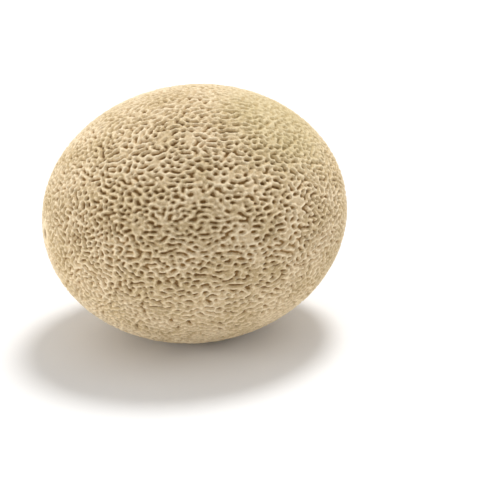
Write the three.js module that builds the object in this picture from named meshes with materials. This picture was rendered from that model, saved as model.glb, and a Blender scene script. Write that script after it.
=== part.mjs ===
// A whole netted melon, lying on the ground spot that it grew on.
// Millimetres, +Z up. The origin is on the resting surface, under the middle of the fruit.
// The long axis lies along X: the stem scar faces +X and the blossom mark faces -X.

import * as THREE from "three";
import { ConvexHull } from "three/addons/math/ConvexHull.js";

// Driving dimensions
const LENGTH = 168;
const DIAMETER = 140;
const FLAT_DEPTH = 1.6;

// The net stands up from the rind between sunken pits. The pits are larger than life,
// so that a solid of flat faces can hold them all.
const PIT_SITES = 1145;
const PIT_DEPTH = 1.8;
const PIT_HALF_WIDTH = 2.3;
const PIT_SLENDERNESS = 1.15;
const PIT_TURN = 0.4;
const SIZE_SPREAD = 0.22;

const SCAR_RADIUS = 9;
const SCAR_DEPTH = 2.2;
const SCAR_LIP = 0.5;
const MARK_RADIUS = 4;
const MARK_DEPTH = 0.6;

// Rings of points about each end, as a share of the scar's or mark's radius and a count of points
const SCAR_RINGS = [[0, 1], [0.35, 7], [0.7, 13], [1, 20], [1.3, 24]];
const MARK_RINGS = [[0, 1], [0.7, 8], [1.4, 12]];
const FLAT_SPOT_POINTS = 28;

// The net fades in between two multiples of the size of the scar, the mark or the flat spot.
const SCAR_FADE = [1.3, 1.7];
const MARK_FADE = [1.4, 2.2];
const FLAT_FADE = [1.1, 1.5];

// The scar's dish and the mark are level out to one share of their radius and end at another.
const SCAR_SLOPE = [0.3, 0.9];
const MARK_SLOPE = [0.3, 1];
const LIP_WIDTH = SCAR_RADIUS * 0.2;

const RIND_COLOUR = 0xc9b188;
const RIND_ROUGHNESS = 0.8;

// Worked out from the driving dimensions
const HALF_LENGTH = LENGTH / 2;
const RADIUS = DIAMETER / 2;
const CENTRE_HEIGHT = RADIUS - FLAT_DEPTH;
const FLAT_SHARE = Math.sqrt(1 - (CENTRE_HEIGHT / RADIUS) ** 2);
const FLAT_HALF_X = HALF_LENGTH * FLAT_SHARE;
const FLAT_HALF_Y = RADIUS * FLAT_SHARE;

// A young fruit is shorter, and its net is even all over. Growing in length draws the pits out.
const GROWTH = 1.4;
const YOUNG_HALF_LENGTH = HALF_LENGTH / GROWTH;

const RANDOM_SEED = 20;
const RELAX_ROUNDS = 3;
const SITE_SHAKE = 0.35;

function seededRandom(seed) {
  let state = seed;
  return () => {
    state = (state + 0x6d2b79f5) | 0;
    let t = Math.imul(state ^ (state >>> 15), 1 | state);
    t = (t + Math.imul(t ^ (t >>> 7), 61 | t)) ^ t;
    return ((t ^ (t >>> 14)) >>> 0) / 2 ** 32;
  };
}

const random = seededRandom(RANDOM_SEED);

function spread(range) {
  return range * (random() * 2 - 1);
}

// Rises smoothly from 0 to 1 as the value goes from the first to the second of two limits.
function rise(value, [from, to]) {
  return THREE.MathUtils.smoothstep(value, from, to);
}

// Moves a point along its own ray onto an ellipsoid that is round about the X axis.
// The half length is the young fruit's or the grown fruit's.
function ontoFruit(point, halfLength) {
  const reach = Math.hypot(point.x / halfLength, point.y / RADIUS, point.z / RADIUS);
  return point.multiplyScalar(1 / reach);
}

function outwardAt(point) {
  return new THREE.Vector3(
    point.x / HALF_LENGTH ** 2,
    point.y / RADIUS ** 2,
    point.z / RADIUS ** 2,
  ).normalize();
}

// A ring of points round the X axis, at one end of the grown fruit.
function endRing(end, radius, count) {
  const along = end * HALF_LENGTH * Math.sqrt(1 - (radius / RADIUS) ** 2);
  return Array.from({ length: count }, (_, k) => {
    const angle = (2 * Math.PI * k) / count;
    return new THREE.Vector3(along, radius * Math.cos(angle), radius * Math.sin(angle));
  });
}

// The outline of the flat spot, where the resting plane cuts the ellipsoid, and the foot inside it.
function flatSpot(count) {
  const rim = Array.from({ length: count }, (_, k) => {
    const angle = (2 * Math.PI * k) / count;
    return new THREE.Vector3(
      FLAT_HALF_X * Math.cos(angle),
      FLAT_HALF_Y * Math.sin(angle),
      -CENTRE_HEIGHT,
    );
  });
  return [new THREE.Vector3(0, 0, -RADIUS), ...rim];
}

// Points with no pit, which give the scar, the blossom mark and the flat spot their shapes.
function plainPoints() {
  return [
    ...SCAR_RINGS.flatMap(([share, count]) => endRing(1, share * SCAR_RADIUS, count)),
    ...MARK_RINGS.flatMap(([share, count]) => endRing(-1, share * MARK_RADIUS, count)),
    ...flatSpot(FLAT_SPOT_POINTS),
  ];
}

// 1 where the net stands at its full height, and 0 on the scar, the mark and the ground spot.
function netStrength(point) {
  const fromAxis = Math.hypot(point.y, point.z);
  const atEnd = point.x > 0
    ? rise(fromAxis / SCAR_RADIUS, SCAR_FADE)
    : rise(fromAxis / MARK_RADIUS, MARK_FADE);
  const fromFlat = Math.hypot(point.x / FLAT_HALF_X, point.y / FLAT_HALF_Y);
  return point.z > 0 ? atEnd : atEnd * rise(fromFlat, FLAT_FADE);
}

// Pit sites spread over the young fruit on a spiral, then shaken out of its order.
function scatteredSites(count) {
  const goldenAngle = Math.PI * (3 - Math.sqrt(5));
  const spacing = Math.sqrt((4 * Math.PI * RADIUS * YOUNG_HALF_LENGTH) / count);
  const sites = [];
  for (let k = 0; k < count; k++) {
    const height = 1 - (2 * (k + 0.5)) / count;
    const ring = Math.sqrt(1 - height * height);
    const site = new THREE.Vector3(
      YOUNG_HALF_LENGTH * ring * Math.cos(goldenAngle * k) + spread(SITE_SHAKE * spacing),
      RADIUS * ring * Math.sin(goldenAngle * k) + spread(SITE_SHAKE * spacing),
      RADIUS * height + spread(SITE_SHAKE * spacing),
    );
    ontoFruit(site, YOUNG_HALF_LENGTH);
    site.x *= GROWTH;
    if (netStrength(site) > 0) sites.push(site);
  }
  return sites;
}

// The triangles between neighbouring points on the ellipsoid, as threes of the points' numbers.
function trianglesBetween(points) {
  const number = new Map(points.map((point, k) => [point, k]));
  const hull = new ConvexHull().setFromPoints(points);
  return hull.faces.map((face) => [0, 1, 2].map((k) => number.get(face.getEdge(k).tail().point)));
}

// Evens out the sites: each moves to the middle of the triangles around it.
function relax(sites, plain) {
  const points = [...sites, ...plain];
  const sums = sites.map(() => new THREE.Vector3());
  for (const triangle of trianglesBetween(points)) {
    const middle = new THREE.Vector3();
    for (const corner of triangle) middle.add(points[corner]);
    ontoFruit(middle, HALF_LENGTH);
    for (const corner of triangle) if (corner < sites.length) sums[corner].add(middle);
  }
  return sums.map((sum) => ontoFruit(sum, HALF_LENGTH));
}

// The four rim points of a pit, a lozenge drawn out towards the fruit's two ends.
function pitRim(site) {
  const outward = outwardAt(site);
  const lengthways = new THREE.Vector3(1, 0, 0).addScaledVector(outward, -outward.x).normalize();
  const acrossAxis = Math.hypot(lengthways.y, lengthways.z);
  const drawnOut = Math.hypot(lengthways.x * GROWTH, acrossAxis);
  lengthways.applyAxisAngle(outward, spread(PIT_TURN));
  const sideways = new THREE.Vector3().crossVectors(outward, lengthways);
  const halfWidth = PIT_HALF_WIDTH * (1 + spread(SIZE_SPREAD));
  const halfLength = halfWidth * PIT_SLENDERNESS * drawnOut * (1 + spread(SIZE_SPREAD));
  return [
    site.clone().addScaledVector(lengthways, halfLength),
    site.clone().addScaledVector(sideways, halfWidth),
    site.clone().addScaledVector(lengthways, -halfLength),
    site.clone().addScaledVector(sideways, -halfWidth),
  ].map((corner) => ontoFruit(corner, HALF_LENGTH));
}

// How far an end's dish or mark sinks the surface. A low lip stands round the scar.
function endSink(point) {
  const fromAxis = Math.hypot(point.y, point.z);
  if (point.x < 0) return MARK_DEPTH * (1 - rise(fromAxis / MARK_RADIUS, MARK_SLOPE));
  const dish = SCAR_DEPTH * (1 - rise(fromAxis / SCAR_RADIUS, SCAR_SLOPE));
  const lip = SCAR_LIP * Math.exp(-(((fromAxis - SCAR_RADIUS) / LIP_WIDTH) ** 2));
  return dish - lip;
}

// Sinks a point of the ellipsoid to its finished place, and stands it on the resting plane.
function finishedPoint(point, pitDepth) {
  const depth = pitDepth * netStrength(point) + endSink(point);
  const finished = point.clone().addScaledVector(outwardAt(point), -depth);
  finished.z = Math.max(finished.z + CENTRE_HEIGHT, 0);
  return finished;
}

function nettedRind() {
  const plain = plainPoints();
  let sites = scatteredSites(PIT_SITES);
  for (let round = 0; round < RELAX_ROUNDS; round++) sites = relax(sites, plain);

  const rims = sites.flatMap(pitRim);
  const points = [...sites, ...rims, ...plain];
  const geometry = new THREE.BufferGeometry().setFromPoints(
    points.map((point, k) =>
      finishedPoint(point, k < sites.length ? PIT_DEPTH * (1 + spread(SIZE_SPREAD)) : 0)),
  );
  geometry.setIndex(trianglesBetween(points).flat());
  geometry.computeVertexNormals();
  return geometry;
}

function makeMelon() {
  const rind = new THREE.MeshStandardMaterial({
    color: RIND_COLOUR,
    roughness: RIND_ROUGHNESS,
    metalness: 0,
  });
  const melon = new THREE.Mesh(nettedRind(), rind);
  melon.name = "melon";
  return melon;
}

const group = new THREE.Group();
group.add(makeMelon());

export default group;
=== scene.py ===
# %% [markdown]
# A netted melon, from a smooth fruit to its corky net
#
# A netted melon starts out smooth and round. While it swells, its skin cracks, and
# cork grows out of every crack until the cracks join into a raised net. The fruit then
# grows in length and draws the net's gaps out into slots.
#
# This lesson makes the fruit in the same order: a young fruit, a net that grows on it,
# growth in length, and last the colours, the light and the camera. All lengths are in
# metres unless a name or a comment says otherwise.

import bmesh
import bpy
import math
import numpy as np
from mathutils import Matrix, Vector
from types import SimpleNamespace


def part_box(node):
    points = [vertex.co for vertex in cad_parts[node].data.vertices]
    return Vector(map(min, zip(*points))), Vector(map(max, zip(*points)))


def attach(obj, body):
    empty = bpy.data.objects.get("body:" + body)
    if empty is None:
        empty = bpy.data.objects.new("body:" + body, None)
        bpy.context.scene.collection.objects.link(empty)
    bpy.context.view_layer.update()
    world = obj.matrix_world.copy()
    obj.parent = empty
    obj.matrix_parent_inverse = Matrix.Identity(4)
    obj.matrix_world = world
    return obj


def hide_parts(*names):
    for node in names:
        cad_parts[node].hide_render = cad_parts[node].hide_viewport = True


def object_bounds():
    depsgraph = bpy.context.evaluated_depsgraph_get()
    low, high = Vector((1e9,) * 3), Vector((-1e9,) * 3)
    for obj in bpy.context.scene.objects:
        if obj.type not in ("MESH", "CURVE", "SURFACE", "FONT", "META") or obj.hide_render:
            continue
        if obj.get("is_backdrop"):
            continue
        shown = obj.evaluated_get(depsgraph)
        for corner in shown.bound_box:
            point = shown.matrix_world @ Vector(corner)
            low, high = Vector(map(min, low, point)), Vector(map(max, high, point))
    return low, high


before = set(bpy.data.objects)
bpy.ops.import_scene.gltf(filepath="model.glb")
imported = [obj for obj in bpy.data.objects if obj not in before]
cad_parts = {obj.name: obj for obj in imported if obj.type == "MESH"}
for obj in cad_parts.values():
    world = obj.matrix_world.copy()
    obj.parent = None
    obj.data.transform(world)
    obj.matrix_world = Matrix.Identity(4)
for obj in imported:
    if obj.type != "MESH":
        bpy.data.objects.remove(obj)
cad_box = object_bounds()
MM = 0.001

# %% [markdown]
# The sizes of the fruit
#
# The construction model gives the fruit's place and size. It is an ellipsoid, round about
# the X axis, that lies on a small flat ground spot. So three numbers read from its box are
# enough: half its length, its radius, and how far the ground spot cuts into it.

# %% Sizes read from the frame
box_low, box_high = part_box("melon")
HALF_LENGTH = (box_high.x - box_low.x) / 2
RADIUS = (box_high.y - box_low.y) / 2
CENTRE_HEIGHT = box_high.z - RADIUS
FLAT_SHARE = math.sqrt(1 - (CENTRE_HEIGHT / RADIUS) ** 2)
print(f"half length {HALF_LENGTH / MM:.1f} mm, radius {RADIUS / MM:.1f} mm")
print(f"centre {CENTRE_HEIGHT / MM:.1f} mm above the floor")

# %% [markdown]
# The young fruit
#
# An icosphere is the natural start, because its points are spread almost evenly and it has
# no poles where lines crowd together. It is squashed along X, since the young fruit is
# shorter than the grown one. Growth will draw it out again, and the net with it.

# %% Make the young fruit
GROWTH = 1.25
ICOSPHERE_LEVEL = 8


def make_young_fruit():
    """A squashed icosphere, centred on the origin, as a new mesh."""
    sphere = bmesh.new()
    bmesh.ops.create_icosphere(sphere, subdivisions=ICOSPHERE_LEVEL, radius=1)
    bmesh.ops.scale(sphere, vec=(HALF_LENGTH / GROWTH, RADIUS, RADIUS), verts=sphere.verts)
    mesh = bpy.data.meshes.new("young_fruit")
    sphere.to_mesh(mesh)
    sphere.free()
    return mesh


def read_points(mesh):
    points = np.empty(len(mesh.vertices) * 3, np.float32)
    mesh.vertices.foreach_get("co", points)
    return points.reshape(-1, 3)


def read_triangles(mesh):
    corners = np.empty(len(mesh.loops), np.int32)
    mesh.loops.foreach_get("vertex_index", corners)
    return corners.reshape(-1, 3)


young_fruit = make_young_fruit()
points = read_points(young_fruit)
triangles = read_triangles(young_fruit)
print(f"young fruit: {len(points)} points, {len(triangles)} triangles")

# %% [markdown]
# How the skin passes strain to its neighbours
#
# Whatever spreads over a skin, such as heat, strain or a growth hormone, follows the
# Laplacian: each point is pulled towards the mean of its neighbours. On a mesh of
# triangles, the pull along an edge is weighed by the cotangents of the two angles that
# face the edge. With those weights the result depends on the true shape of the skin, and
# not on how the triangles happen to lie.


# %% Build the Laplacian of the skin
def skin_laplacian(points, triangles):
    """Returns a function that gives the Laplacian of a field on the mesh, per square mm."""
    here, there, pull = [], [], []
    area = np.zeros(len(points))
    for turn in range(3):
        corner, left, right = (triangles[:, (turn + k) % 3] for k in range(3))
        to_left = (points[left] - points[corner]) / MM
        to_right = (points[right] - points[corner]) / MM
        double_area = np.linalg.norm(np.cross(to_left, to_right), axis=1)
        cotangent = (to_left * to_right).sum(1) / double_area
        here += [left, right]
        there += [right, left]
        pull += [cotangent / 2, cotangent / 2]
        area += np.bincount(corner, double_area / 6, len(points))
    here, there, pull = (np.concatenate(part) for part in (here, there, pull))

    # Every edge belongs to two triangles, so each pair of neighbours comes up twice. Sorting
    # brings the two together, and their pulls are added.
    order = np.argsort(here.astype(np.int64) * len(points) + there)
    here, there, pull = here[order], there[order], pull[order]
    there, here, pull = there[::2], here[::2], pull[::2] + pull[1::2]
    first = np.flatnonzero(np.diff(here, prepend=-1))
    scale = (1 / area).astype(np.float32)
    own = np.add.reduceat(pull, first).astype(np.float32)
    pull = pull.astype(np.float32)

    def laplacian(field):
        return (np.add.reduceat(pull * field[there], first) - own * field) * scale

    return laplacian


laplacian = skin_laplacian(points, triangles)
even_skin = np.ones(len(points), np.float32)
print(f"an even skin changes by at most {np.abs(laplacian(even_skin)).max():.0e} per square mm")

# %% [markdown]
# The net grows
#
# The Swift-Hohenberg equation is the plainest rule that makes such a pattern. A random
# skin is let go, patches of one chosen spacing grow, and all others die out. The square
# term makes the gaps lie apart as pits in a connected net, instead of as stripes. It is
# stopped early, while the pits are still uneven and some run together, as on a real fruit.
#
# The first cracks run along the fruit. So the random start is softened on a fruit squeezed
# to half its length, where lengthwise neighbours lie close together and even out the most.
#
# A net that is stopped early is strong in some places and weak in others. So it is divided
# by its own strength around each point. Last, each point gets its rank, from 0 on the
# highest cord to 1 in the deepest pit. A rank of 0.7 then means that seven tenths of the
# skin stands higher, on every fruit, whatever the growth did.

# %% Grow the net on the young fruit
NET_SEED = 3

# The start, where the softening is in square mm a step
START_NOISE = 0.6
LENGTHWISE_SQUEEZE = 2
SOFTENING_STEPS = 8
SOFTENING = 0.008

# The growth, where the spacing is in mm on the young fruit
NET_SPACING = 3.05
GROWTH_RATE = 0.67
PIT_PREFERENCE = 2.0
TIME_STEP = 0.02
STEPS = 110

# The mesh of the net is a little finer in some places than in others
FINENESS_SPREAD = 0.04
FINENESS_PATCH = 14 * MM
FINENESS_WAVES = 14

# The evening-out at the end, in square mm a step
EVENING_STEPS = 200
EVENING = 0.04


def waves(points, wavelength, count, seed):
    """A smooth random field, about -1 to 1: a sum of plane waves in random directions."""
    random = np.random.default_rng(seed)
    directions = random.normal(size=(count, 3))
    directions /= np.linalg.norm(directions, axis=1)[:, None]
    phases = random.uniform(0, 2 * np.pi, count)
    reach = points @ (directions * 2 * np.pi / wavelength).T.astype(np.float32) + phases
    return (np.cos(reach).sum(1) / math.sqrt(count)).astype(np.float32)


def first_cracks(points, triangles):
    """A random field, softened most along the fruit."""
    random = np.random.default_rng(NET_SEED)
    field = (START_NOISE * random.normal(size=len(points))).astype(np.float32)
    squeezed = skin_laplacian(points / [LENGTHWISE_SQUEEZE, 1, 1], triangles)
    for _ in range(SOFTENING_STEPS):
        field += SOFTENING * squeezed(field)
    return field


def grow_net(points, field):
    """Turns the first cracks into a field that is high in the pits and low on the cords."""
    unevenness = waves(points, FINENESS_PATCH, FINENESS_WAVES, NET_SEED)
    fineness = (1 + FINENESS_SPREAD * unevenness) ** 2
    spread = np.float32((NET_SPACING / (2 * np.pi)) ** 2)
    for _ in range(STEPS):
        once = fineness * field + spread * laplacian(field)
        twice = fineness * once + spread * laplacian(once)
        change = GROWTH_RATE * field - twice + PIT_PREFERENCE * field ** 2 - field ** 3
        field += TIME_STEP * change
    return field


def even_out(field):
    """Divides the net by its own strength around each point, so it stands as high all over."""
    strength = field ** 2
    for _ in range(EVENING_STEPS):
        strength += EVENING * laplacian(strength)
    return field / np.sqrt(strength)


def rank(field):
    """The share of the points that are lower in the field, from 0 at its lowest point to 1."""
    share = np.empty(len(field), np.float32)
    share[np.argsort(field)] = np.linspace(0, 1, len(field), dtype=np.float32)
    return share


grown_net = grow_net(points, first_cracks(points, triangles))
net = rank(even_out(grown_net))
print(f"net: from {grown_net.min():.2f} on the cords to {grown_net.max():.2f} in the pits")

# %% [markdown]
# Small helpers for node trees
#
# Both the shape and the colours are made with nodes. One helper adds a node and plugs its
# inputs in, and one opens a new tree with named inputs. The others give short names to the
# few sums that come up again and again, so that a tree can be read like a formula.


# %% Node helpers
def add_node(tree, kind, inputs=(), **settings):
    """Adds a node. Inputs are values or other nodes' outputs, by socket name or place."""
    node = tree.nodes.new(kind)
    for name, value in settings.items():
        setattr(node, name, value)
    for name, value in dict(inputs).items():
        socket = node.inputs[name]
        if isinstance(value, bpy.types.NodeSocket):
            tree.links.new(value, socket)
        else:
            socket.default_value = value
    return node


def first_output(node):
    return next(socket for socket in node.outputs if socket.enabled)


def new_tree(name, kind, inputs, outputs):
    """A node tree with named inputs and outputs, each a name with its socket type and a value."""
    tree = bpy.data.node_groups.new(name, kind)
    for label, (socket_type, value) in inputs.items():
        socket = tree.interface.new_socket(label, in_out="INPUT", socket_type=socket_type)
        if value is not None:
            socket.default_value = value
    for label, socket_type in outputs.items():
        tree.interface.new_socket(label, in_out="OUTPUT", socket_type=socket_type)
    return tree


# %% Helpers for sums in a tree
def math_node(tree, operation, *values, kind="ShaderNodeMath"):
    node = add_node(tree, kind, dict(enumerate(values)), operation=operation)
    return first_output(node)


def vector_node(tree, operation, *values):
    return math_node(tree, operation, *values, kind="ShaderNodeVectorMath")


def combine(tree, x, y, z):
    """A vector made of three numbers."""
    return first_output(add_node(tree, "ShaderNodeCombineXYZ", {"X": x, "Y": y, "Z": z}))


def separate(tree, vector):
    """The three numbers of a vector, as outputs called X, Y and Z."""
    return add_node(tree, "ShaderNodeSeparateXYZ", {0: vector}).outputs


def product(tree, first, *others):
    for other in others:
        first = math_node(tree, "MULTIPLY", first, other)
    return first


def opposite(tree, mask):
    """A mask turned round: 0 where it is 1, and 1 where it is 0."""
    return math_node(tree, "SUBTRACT", 1, mask)


def smooth_step(tree, value, start, end):
    """0 before start and 1 after end, rising smoothly in between."""
    limits = {"Value": value, "From Min": start, "From Max": end}
    node = add_node(tree, "ShaderNodeMapRange", limits, interpolation_type="SMOOTHSTEP")
    return first_output(node)


def mix_numbers(tree, share, first, second):
    return first_output(add_node(tree, "ShaderNodeMix", {0: share, 2: first, 3: second}))


def mix_colours(tree, share, first, second):
    inputs = {0: share, 6: first, 7: second}
    return add_node(tree, "ShaderNodeMix", inputs, data_type="RGBA").outputs[2]


# %% [markdown]
# From the young fruit to the netted rind
#
# One Geometry Nodes tree turns the young fruit and its net into the grown rind. Each size is
# a named input, so the same tree would make another fruit. The next cells build its parts
# one by one: growth in length, where the net stands, the stem scar and the blossom mark.
#
# A point sinks by the net's rank, raised to a power. The power holds the cords up and lets
# the middles of the pits drop steeply.

# %% Sizes of the relief
relief = {
    "Half Length": HALF_LENGTH,
    "Radius": RADIUS,
    "Centre Height": CENTRE_HEIGHT,
    "Flat Share": FLAT_SHARE,
    "Growth": GROWTH,
    "Net Depth": 2.3 * MM,
    "Steepness": 1.5,
    "Scar Radius": 9 * MM,
    "Scar Depth": 2.2 * MM,
    "Scar Lip": 0.5 * MM,
    "Stubs": 10,
    "Stub Height": 0.9 * MM,
    "Cork Roughness": 1.6 * MM,
    "Pressed Net": 0.85,
    "Mark Radius": 4 * MM,
    "Mark Depth": 0.6 * MM,
}
middle_depth = relief["Net Depth"] * 0.5 ** relief["Steepness"]
print(f"half of the rind lies less than {middle_depth / MM:.2f} mm below the crests of the cords")

# %% [markdown]
# Growth in length
#
# A young melon is nearly round, and then grows more in length than in width. The tree does
# the same: it stretches X alone, and the pits are drawn out with it. On an ellipsoid, the
# outward direction is the place divided twice by the half sizes. That is exact, while the
# mesh's own normals would show its triangles.


# %% Draw the fruit out
def on_grown_fruit(tree, given):
    """What the next steps need to know about a point of the grown fruit."""
    position = first_output(tree.nodes.new("GeometryNodeInputPosition"))
    place = vector_node(tree, "MULTIPLY", position, combine(tree, given["Growth"], 1, 1))
    half_sizes = combine(tree, given["Half Length"], given["Radius"], given["Radius"])
    unit_place = vector_node(tree, "DIVIDE", place, half_sizes)
    outward = vector_node(tree, "NORMALIZE", vector_node(tree, "DIVIDE", unit_place, half_sizes))
    along = separate(tree, place)
    from_axis = vector_node(tree, "LENGTH", vector_node(tree, "MULTIPLY", place, (0, 1, 1)))
    spot_place = vector_node(tree, "DIVIDE", unit_place, given["Flat Share"])
    level_place = vector_node(tree, "MULTIPLY", spot_place, (1, 1, 0))
    return SimpleNamespace(
        place=place,
        outward=outward,
        y=along["Y"],
        z=along["Z"],
        stem_half=smooth_step(tree, along["X"], -MM, MM),
        upper_half=smooth_step(tree, along["Z"], -MM, MM),
        scar_share=math_node(tree, "DIVIDE", from_axis, given["Scar Radius"]),
        mark_share=math_node(tree, "DIVIDE", from_axis, given["Mark Radius"]),
        spot_share=vector_node(tree, "LENGTH", level_place),
    )


print(f"growth: from {2 * HALF_LENGTH / GROWTH / MM:.0f} mm long to {2 * HALF_LENGTH / MM:.0f} mm")

# %% [markdown]
# Where the net stands
#
# No net grows on the stem scar and the blossom mark, and the ground has pressed it flat on
# the spot where the fruit lay. Masks leave it out there. A mask is a number from 0 to 1 on
# every point, and it fades softly, so that no cord ends at a step. Each fade starts and ends
# at a share of the size of the scar, the mark or the spot.

# %% Fade the net out
OFF_SCAR = (0.9, 1.25)
OFF_MARK = (1.0, 2.2)
OFF_SPOT = (0.9, 1.5)


def net_masks(tree, at):
    """1 away from the scar and the mark, and 1 away from the ground spot."""
    off_scar = smooth_step(tree, at.scar_share, *OFF_SCAR)
    off_mark = smooth_step(tree, at.mark_share, *OFF_MARK)
    off_end = mix_numbers(tree, at.stem_half, off_mark, off_scar)
    off_spot = smooth_step(tree, at.spot_share, *OFF_SPOT)
    return off_end, math_node(tree, "MAXIMUM", at.upper_half, off_spot)


print(f"no net within {OFF_SCAR[0] * relief['Scar Radius'] / MM:.1f} mm of the scar's middle")

# %% [markdown]
# The stem scar
#
# A ripe melon slips off its stem and leaves a dish of rough cork inside a low smooth lip. In
# the dish, a ring of stubs is left where the vessels of the stem tore off. The scar is round
# about the X axis, so the distance from that axis shapes the dish and the lip. A cosine of
# the angle round the axis gives the stubs, and noise gives the cork.

# %% Shape the stem scar
DISH_WALL = (0.6, 0.9)

# The middle of a ring and its width to each side, as shares of the scar's radius
LIP_RING = (1, 0.35)
STUB_RING = (0.45, 0.2)

# A stub rises where the cosine of the angle, times the number of stubs, passes this
STUB_FOOT = -0.6
LUMPS_PER_MM = 0.4
LUMP_DETAIL = 3


def scar_relief(tree, given, at):
    """The mask of the dish, and how far the scar sinks the skin."""

    def ring(middle, width):
        off_ring = math_node(tree, "ABSOLUTE", math_node(tree, "SUBTRACT", at.scar_share, middle))
        return opposite(tree, smooth_step(tree, off_ring, 0, width))

    dish = opposite(tree, smooth_step(tree, at.scar_share, *DISH_WALL))
    dish_depth = product(tree, dish, given["Scar Depth"])
    lip_height = product(tree, ring(*LIP_RING), given["Scar Lip"])

    angle = math_node(tree, "ARCTAN2", at.z, at.y)
    stubs = math_node(tree, "COSINE", product(tree, angle, given["Stubs"]))
    stub_share = product(tree, smooth_step(tree, stubs, STUB_FOOT, 1), ring(*STUB_RING))
    stub_height = product(tree, stub_share, given["Stub Height"])

    grain = {"Vector": at.place, "Scale": LUMPS_PER_MM / MM, "Detail": LUMP_DETAIL}
    lumps = add_node(tree, "ShaderNodeTexNoise", grain).outputs[0]
    lump_height = product(tree, lumps, dish, given["Cork Roughness"])

    in_dish = math_node(tree, "ADD", stub_height, lump_height)
    raised = math_node(tree, "ADD", lip_height, in_dish)
    sink = product(tree, math_node(tree, "SUBTRACT", dish_depth, raised), at.stem_half)
    return product(tree, dish, at.stem_half), sink


scar_width = 2 * relief["Scar Radius"] / MM
print(f"stem scar: {scar_width:.0f} mm across, {relief['Scar Depth'] / MM:.1f} mm deep")

# %% [markdown]
# The blossom mark
#
# At the other end, the dried flower has left a small shallow dimple. It is made as the dish
# of the scar is, without a lip or stubs.

# %% Shape the blossom mark
MARK_WALL = (0.3, 1)


def mark_relief(tree, given, at):
    """The mask of the mark, and how far it sinks the skin."""
    dimple = opposite(tree, smooth_step(tree, at.mark_share, *MARK_WALL))
    mark = product(tree, dimple, opposite(tree, at.stem_half))
    return mark, product(tree, mark, given["Mark Depth"])


mark_width = 2 * relief["Mark Radius"] / MM
print(f"blossom mark: {mark_width:.0f} mm across, {relief['Mark Depth'] / MM:.1f} mm deep")

# %% [markdown]
# The finished skin
#
# The depths add up, and the skin sinks by their sum. Under the fruit, it is lifted to the
# floor wherever it would reach below it. A smooth maximum does that without a sharp edge
# round the ground spot. The masks are stored on the points, so that the colours can follow
# the shape. The pressed net keeps part of its mask, and shows faintly on the ground spot.

# %% Build the rind's tree
SETTLING = 0.3 * MM


def finished_place(tree, given, at, depth):
    """The point lowered by its depth, and never below the floor."""
    inputs = {0: at.outward, "Scale": depth}
    lowered = first_output(add_node(tree, "ShaderNodeVectorMath", inputs, operation="SCALE"))
    settled = separate(tree, vector_node(tree, "SUBTRACT", at.place, lowered))
    height = math_node(tree, "ADD", settled["Z"], given["Centre Height"])
    resting = math_node(tree, "SMOOTH_MAX", height, 0, SETTLING)
    return combine(tree, settled["X"], settled["Y"], resting)


def store_masks(tree, geometry, masks):
    for label, mask in masks.items():
        inputs = {"Geometry": geometry, "Name": label, "Value": mask}
        stored = add_node(
            tree, "GeometryNodeStoreNamedAttribute", inputs, data_type="FLOAT", domain="POINT"
        )
        geometry = first_output(stored)
    return geometry


def build_rind_tree(sizes):
    inputs = {"Geometry": ("NodeSocketGeometry", None), "Material": ("NodeSocketMaterial", None)}
    inputs.update({label: ("NodeSocketFloat", value) for label, value in sizes.items()})
    outputs = {"Geometry": "NodeSocketGeometry"}
    tree = new_tree("Netted rind", "GeometryNodeTree", inputs, outputs)
    given = tree.nodes.new("NodeGroupInput").outputs

    at = on_grown_fruit(tree, given)
    off_end, off_ground = net_masks(tree, at)
    raw_net = add_node(
        tree, "GeometryNodeInputNamedAttribute", {"Name": "net"}, data_type="FLOAT"
    )
    pit = math_node(tree, "POWER", first_output(raw_net), given["Steepness"])
    netted = product(tree, off_end, off_ground)
    net_depth = product(tree, pit, given["Net Depth"], netted)
    scar, scar_depth = scar_relief(tree, given, at)
    mark, mark_depth = mark_relief(tree, given, at)
    end_depth = math_node(tree, "ADD", scar_depth, mark_depth)
    depth = math_node(tree, "ADD", net_depth, end_depth)

    pressed = product(tree, off_end, given["Pressed Net"])
    stored = store_masks(tree, given["Geometry"], {
        "pit": product(tree, pit, mix_numbers(tree, off_ground, pressed, off_end)),
        "scar": scar,
        "mark": mark,
        "ground": opposite(tree, off_ground),
    })
    finished = {"Geometry": stored, "Position": finished_place(tree, given, at, depth)}
    moved = add_node(tree, "GeometryNodeSetPosition", finished)
    rounded = add_node(tree, "GeometryNodeSetShadeSmooth", {0: first_output(moved)})
    realized = add_node(tree, "GeometryNodeRealizeInstances", {0: first_output(rounded)})
    dressing = {"Geometry": first_output(realized), "Material": given["Material"]}
    dressed = add_node(tree, "GeometryNodeSetMaterial", dressing)
    add_node(tree, "NodeGroupOutput", {0: first_output(dressed)})
    return tree


rind_tree = build_rind_tree(relief)
print(f"rind tree: {len(rind_tree.nodes)} nodes")

# %% [markdown]
# The colour of cork
#
# Cork is never one colour: large soft patches, small flecks and a fine grain break it up.
# A group of shader nodes holds that effect, so that crests, cords, pits and scar can each
# use it with their own colours. It reads Object coordinates, which stay put on the fruit.

# %% Cork grain and flecks as a group
PATCH_SIZE = 18
GRAIN_SIZE = 1.4
PATCH_DETAIL = 2
FLECK_DETAIL = 3
CORK_ROUGHNESS = 0.6
SHADE_FADE = (0.4, 0.6)


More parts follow.
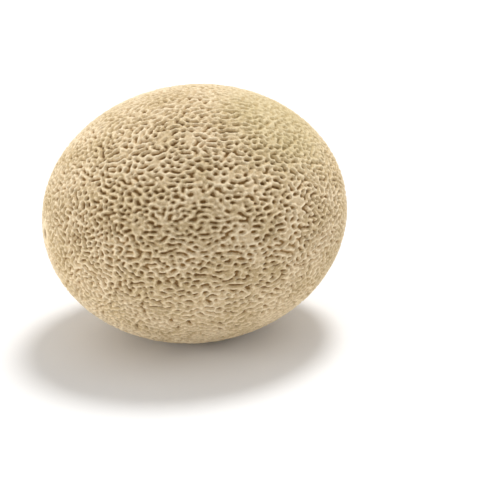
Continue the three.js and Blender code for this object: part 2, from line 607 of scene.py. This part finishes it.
def build_cork_group():
    """Gives a colour between two others and a grain for the bump. Sizes are in mm."""
    tree = new_tree("Cork grain", "ShaderNodeTree", {
        "Position": ("NodeSocketVector", None),
        "Light Colour": ("NodeSocketColor", None),
        "Dark Colour": ("NodeSocketColor", None),
        "Patch Size": ("NodeSocketFloat", PATCH_SIZE),
        "Fleck Size": ("NodeSocketFloat", None),
        "Grain Size": ("NodeSocketFloat", GRAIN_SIZE),
    }, {"Colour": "NodeSocketColor", "Grain": "NodeSocketFloat"})
    given = tree.nodes.new("NodeGroupInput").outputs

    def noise(size, detail):
        inputs = {
            "Vector": given["Position"],
            "Scale": math_node(tree, "DIVIDE", 1 / MM, given[size]),
            "Detail": detail,
            "Roughness": CORK_ROUGHNESS,
        }
        return add_node(tree, "ShaderNodeTexNoise", inputs).outputs[0]

    patches = noise("Patch Size", PATCH_DETAIL)
    flecks = noise("Fleck Size", FLECK_DETAIL)
    blend = product(tree, math_node(tree, "ADD", patches, flecks), 0.5)
    shade = smooth_step(tree, blend, *SHADE_FADE)
    colour = mix_colours(tree, shade, given["Light Colour"], given["Dark Colour"])
    grain = noise("Grain Size", FLECK_DETAIL)
    add_node(tree, "NodeGroupOutput", {"Colour": colour, "Grain": grain})
    return tree


cork_group = build_cork_group()
print(f"cork group: {len(cork_group.nodes)} nodes")

# %% [markdown]
# The rind's colours
#
# The cords are dry pale cork. Along their crests they are paler still: partly paler cork,
# and partly a painted highlight. The skin in the pits is olive brown, and shows between
# them; its colour there is darkened further as painted shade. The stored masks say which
# is which, so the colour follows the shape exactly.
#
# High on one side the rind is a little yellow, and its pits stand out less. That is one soft
# round patch, given by the place of its middle and by how far it reaches.


# %% Colours of the rind
def srgb(red, green, blue):
    """A colour as it looks in a picture, 0 to 255 a channel, turned into amounts of light."""
    shares = (channel / 255 for channel in (red, green, blue))
    linear = [s / 12.92 if s <= 0.04045 else ((s + 0.055) / 1.055) ** 2.4 for s in shares]
    return (*linear, 1)


# Crest colours: partly paler cork, partly a painted highlight along the crests of the cords.
CREST_CORK_AND_HIGHLIGHT_LIGHT = srgb(250, 231, 197)
CREST_CORK_AND_HIGHLIGHT_DARK = srgb(232, 210, 170)
CORD_LIGHT = srgb(228, 204, 166)
CORD_DARK = srgb(203, 178, 135)
# Pit colours: the skin's own olive brown, darkened further as painted shade in the pits.
PIT_SKIN_AND_SHADE_LIGHT = srgb(160, 125, 73)
PIT_SKIN_AND_SHADE_DARK = srgb(126, 93, 48)
SCAR_LIGHT = srgb(182, 156, 116)
SCAR_DARK = srgb(132, 104, 68)
GROUND_TINT = srgb(214, 196, 140)
SMOOTH_TINT = srgb(215, 199, 150)
# The palest colour is that of the crests: partly paler cork, partly a painted highlight.
print("palest cork, in amounts of light:", [round(amount, 2) for amount in CREST_CORK_AND_HIGHLIGHT_LIGHT[:3]])

# %% The rind's material
CORK_FLECKS = 1.3
SKIN_FLECKS = 0.8
SCAR_FLECKS = 0.9

# How far down a pit each colour starts and ends, as a share of its depth
# The crest colour, with its painted highlight, fades out between these shares of the depth.
OFF_CREST_CORK_AND_HIGHLIGHT = (0.05, 0.3)
# The pit colour, with its painted shade, fades in between these shares of the depth.
IN_PIT = (0.45, 0.9)

GROUND_SHARE = 0.6
SMOOTH_SHARE = 0.5
SMOOTH_PLACE = Vector((39 * MM, -24 * MM, CENTRE_HEIGHT + 57 * MM))
SMOOTH_REACH = (14 * MM, 46 * MM)

CORD_ROUGHNESS = 0.78
PIT_ROUGHNESS = 0.6
GRAIN_DEPTH = 0.7 * MM
SPECULAR_LEVEL = 0.35


def make_rind_material():
    material = bpy.data.materials.new("netted_rind")
    material.use_nodes = True
    tree = material.node_tree
    tree.nodes.clear()
    position = add_node(tree, "ShaderNodeTexCoord").outputs["Object"]

    def cork(light, dark, fleck_size):
        node = add_node(tree, "ShaderNodeGroup", node_tree=cork_group)
        tree.links.new(position, node.inputs["Position"])
        node.inputs["Light Colour"].default_value = light
        node.inputs["Dark Colour"].default_value = dark
        node.inputs["Fleck Size"].default_value = fleck_size
        return node.outputs

    def mask(name):
        return add_node(tree, "ShaderNodeAttribute", attribute_name=name).outputs["Fac"]

    crest_cork_and_highlight = cork(CREST_CORK_AND_HIGHLIGHT_LIGHT, CREST_CORK_AND_HIGHLIGHT_DARK, CORK_FLECKS)
    cord = cork(CORD_LIGHT, CORD_DARK, CORK_FLECKS)
    # The skin in the pits, painted darker than the skin itself is, as painted shade.
    skin = cork(PIT_SKIN_AND_SHADE_LIGHT, PIT_SKIN_AND_SHADE_DARK, SKIN_FLECKS)
    scar = cork(SCAR_LIGHT, SCAR_DARK, SCAR_FLECKS)

    # The pit colour, with its painted shade, covers the deepest part of each pit.
    in_pit = smooth_step(tree, mask("pit"), *IN_PIT)
    # The crest colour, paler cork with a painted highlight, lies on the crests of the cords.
    off_crest_cork_and_highlight = smooth_step(tree, mask("pit"), *OFF_CREST_CORK_AND_HIGHLIGHT)
    cords = mix_colours(tree, off_crest_cork_and_highlight, crest_cork_and_highlight["Colour"], cord["Colour"])
    netted = mix_colours(tree, in_pit, cords, skin["Colour"])

    from_smooth = vector_node(tree, "DISTANCE", position, SMOOTH_PLACE)
    off_smooth = smooth_step(tree, from_smooth, *SMOOTH_REACH)
    smoother = mix_numbers(tree, off_smooth, SMOOTH_SHARE, 0)
    smoothed = mix_colours(tree, smoother, netted, SMOOTH_TINT)
    pressed = product(tree, mask("ground"), GROUND_SHARE)
    grounded = mix_colours(tree, pressed, smoothed, GROUND_TINT)
    at_scar = math_node(tree, "MAXIMUM", mask("scar"), mask("mark"))
    colour = mix_colours(tree, at_scar, grounded, scar["Colour"])

    roughness = mix_numbers(tree, in_pit, CORD_ROUGHNESS, PIT_ROUGHNESS)
    grain = {"Strength": 1, "Distance": GRAIN_DEPTH, "Height": cord["Grain"]}
    bump = add_node(tree, "ShaderNodeBump", grain)
    shader = add_node(tree, "ShaderNodeBsdfPrincipled", {
        "Base Color": colour,
        "Roughness": roughness,
        "Normal": bump.outputs[0],
        "Specular IOR Level": SPECULAR_LEVEL,
    })
    add_node(tree, "ShaderNodeOutputMaterial", {"Surface": shader.outputs[0]})
    return material


rind_material = make_rind_material()
print(f"rind material: {len(rind_material.node_tree.nodes)} nodes")

# %% [markdown]
# One skin, thin enough to share
#
# The edges of the pits need all of the young fruit's triangles, but the crests don't.
# Decimate takes triangles away where they change the shape least. Then the evaluated object
# is turned into a plain mesh, and the modifiers are left behind.

# %% Make the melon
MOST_TRIANGLES = 196_000


def write_field(mesh, name, values):
    attribute = mesh.attributes.new(name, "FLOAT", "POINT")
    attribute.data.foreach_set("value", values)


def set_tree_inputs(modifier, values):
    """Sets a Geometry Nodes modifier's inputs by the socket's identifier, found from its name."""
    identifiers = {
        item.name: item.identifier
        for item in modifier.node_group.interface.items_tree
        if item.in_out == "INPUT"
    }
    for label, value in values.items():
        modifier[identifiers[label]] = value


def make_melon():
    write_field(young_fruit, "net", net)
    growing = bpy.data.objects.new("growing_melon", young_fruit)
    bpy.context.scene.collection.objects.link(growing)
    rind = growing.modifiers.new("Netted rind", "NODES")
    rind.node_group = rind_tree
    set_tree_inputs(rind, {**relief, "Material": rind_material})
    thin = growing.modifiers.new("Thin", "DECIMATE")
    thin.ratio = MOST_TRIANGLES / len(triangles)
    evaluated = growing.evaluated_get(bpy.context.evaluated_depsgraph_get())
    mesh = bpy.data.meshes.new_from_object(evaluated)
    bpy.data.objects.remove(growing)
    bpy.data.meshes.remove(young_fruit)
    mesh.name = "netted_melon"
    melon = bpy.data.objects.new("netted_melon", mesh)
    bpy.context.scene.collection.objects.link(melon)
    return melon


melon = make_melon()
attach(melon, "root")
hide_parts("melon")
print(f"melon: {len(melon.data.polygons)} faces")
print(f"stored on its points: {[attribute.name for attribute in melon.data.attributes]}")

# %% [markdown]
# Floor and light
#
# The fruit lies on a plain white floor in a white room, as in a light tent. One broad soft
# lamp hangs above it and a little behind. Its light skims down the side that the camera
# sees, and so it draws every cord and pit. A weaker lamp at each side keeps the ends light.

# %% The floor
FLOOR_SIZE = 12
PAPER_COLOUR = (0.9, 0.9, 0.9, 1)
PAPER_ROUGHNESS = 0.9


def make_floor():
    half = FLOOR_SIZE / 2
    corners = [(-half, -half, 0), (half, -half, 0), (half, half, 0), (-half, half, 0)]
    mesh = bpy.data.meshes.new("floor")
    mesh.from_pydata(corners, [], [(0, 1, 2, 3)])
    floor = bpy.data.objects.new("floor", mesh)
    bpy.context.scene.collection.objects.link(floor)
    material = bpy.data.materials.new("floor_paper")
    material.use_nodes = True
    paper = material.node_tree.nodes["Principled BSDF"]
    paper.inputs["Base Color"].default_value = PAPER_COLOUR
    paper.inputs["Roughness"].default_value = PAPER_ROUGHNESS
    mesh.materials.append(material)
    return floor


make_floor()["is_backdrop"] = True
print(f"floor: {FLOOR_SIZE} m square")

# %% The light
ROOM_COLOUR = (1, 1, 1, 1)
ROOM_LIGHT = 0.6
KEY_PLACE = (0.55, 0.5, 2.4)
KEY_SIZE = 0.7
KEY_POWER = 38
SIDE_LEFT_PLACE = (-1.6, 0.35, 0.15)
SIDE_RIGHT_PLACE = (1.76, -0.26, 0.6)
SIDE_SIZE = 0.8
LEFT_POWER = 15
RIGHT_POWER = 5


def light_the_room():
    world = bpy.data.worlds.new("room")
    world.use_nodes = True
    background = world.node_tree.nodes["Background"]
    background.inputs["Color"].default_value = ROOM_COLOUR
    background.inputs["Strength"].default_value = ROOM_LIGHT
    bpy.context.scene.world = world


def hang_lamp(name, place, size, power):
    """A round soft lamp that shines on the middle of the fruit. The power is in watts."""
    lamp = bpy.data.lights.new(name, "AREA")
    lamp.shape = "DISK"
    lamp.size = size
    lamp.energy = power
    holder = bpy.data.objects.new(name, lamp)
    holder.location = place
    towards_fruit = Vector((0, 0, RADIUS)) - Vector(place)
    holder.rotation_euler = towards_fruit.to_track_quat("-Z", "Y").to_euler()
    bpy.context.scene.collection.objects.link(holder)


light_the_room()
hang_lamp("key", KEY_PLACE, KEY_SIZE, KEY_POWER)
hang_lamp("left", SIDE_LEFT_PLACE, SIDE_SIZE, LEFT_POWER)
hang_lamp("right", SIDE_RIGHT_PLACE, SIDE_SIZE, RIGHT_POWER)
bpy.context.scene.view_settings.view_transform = "Standard"
print(f"lamps: key {KEY_POWER} W, left {LEFT_POWER} W, right {RIGHT_POWER} W")

# %% [markdown]
# The camera
#
# The outline of an ellipsoid tells where it was seen from. Its height against its length
# and its tilt give, together, the turn of the long axis and how far the camera looks down.
# A long lens from close to a metre away keeps the outline an even oval.
# The camera aims beside and below the fruit, which puts the fruit left of the middle.

# %% Place the camera
LENS = 120
CAMERA_AZIMUTH = -19.7
CAMERA_ELEVATION = 22.5
CAMERA_DISTANCE = 867 * MM
AIM_RIGHT = 23.8 * MM
AIM_DOWN = 14.3 * MM


def place_camera():
    azimuth = math.radians(CAMERA_AZIMUTH)
    elevation = math.radians(CAMERA_ELEVATION)
    back = Vector((
        math.sin(azimuth) * math.cos(elevation),
        -math.cos(azimuth) * math.cos(elevation),
        math.sin(elevation),
    ))
    right = Vector((0, 0, 1)).cross(back).normalized()
    up = back.cross(right)
    aim = Vector((0, 0, CENTRE_HEIGHT)) + right * AIM_RIGHT - up * AIM_DOWN
    camera = bpy.data.objects.new("camera", bpy.data.cameras.new("camera"))
    camera.data.lens = LENS
    camera.location = aim + back * CAMERA_DISTANCE
    camera.rotation_euler = back.to_track_quat("Z", "Y").to_euler()
    bpy.context.scene.collection.objects.link(camera)
    bpy.context.scene.camera = camera


place_camera()
print(f"camera: {LENS} mm lens, {CAMERA_DISTANCE / MM:.0f} mm from the point it aims at")

# %% [markdown]
# Measure and finish
#
# The finished rind is meant to fill the same box as the construction model, so both boxes
# are measured and printed.

# %% Measure and finish
melon_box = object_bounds()
boxes_in_mm = [[round(x / MM, 1) for x in corner] for corner in (*cad_box, *melon_box)]
print(f"boxes in mm: {boxes_in_mm}")
